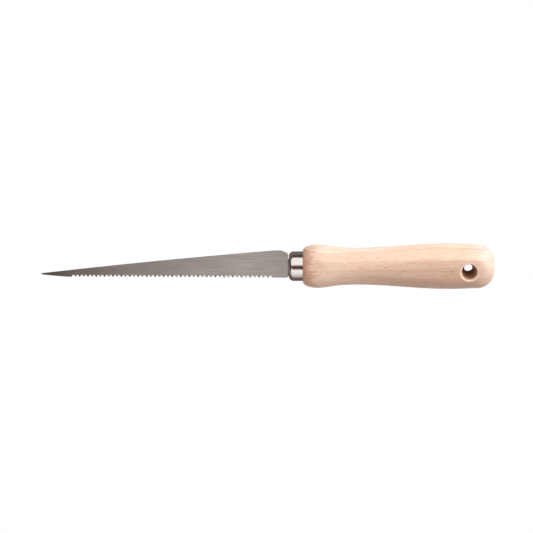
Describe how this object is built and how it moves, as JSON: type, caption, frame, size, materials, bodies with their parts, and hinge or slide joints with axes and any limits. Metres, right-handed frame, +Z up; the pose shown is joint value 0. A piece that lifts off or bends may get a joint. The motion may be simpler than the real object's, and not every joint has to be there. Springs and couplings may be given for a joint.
{
  "type": "drywall saw",
  "caption": "Hand saw for cutting plasterboard: narrow pointed blade with fine teeth, plated ferrule and turned wooden handle with flats and a hang hole.",
  "frame": {"origin": "centre of the bottom face of the whole saw's box, on the surface that the handle's flats rest on, under the handle's axis", "axes": "+X from the blade's tip to the handle's butt along the handle's axis, +Y from the teeth to the spine, +Z up through the side of the blade"},
  "size_m": [0.275, 0.0276, 0.024],
  "materials": {
    "saw_steel": "ground along its length, satin",
    "nickel_plate": "bright nickel plate",
    "beech": "sanded smooth, raw"
  },
  "bodies": {
    "root": {"blade": "saw_steel", "ferrule": "nickel_plate", "handle": "beech"}
  },
  "joints": []
}
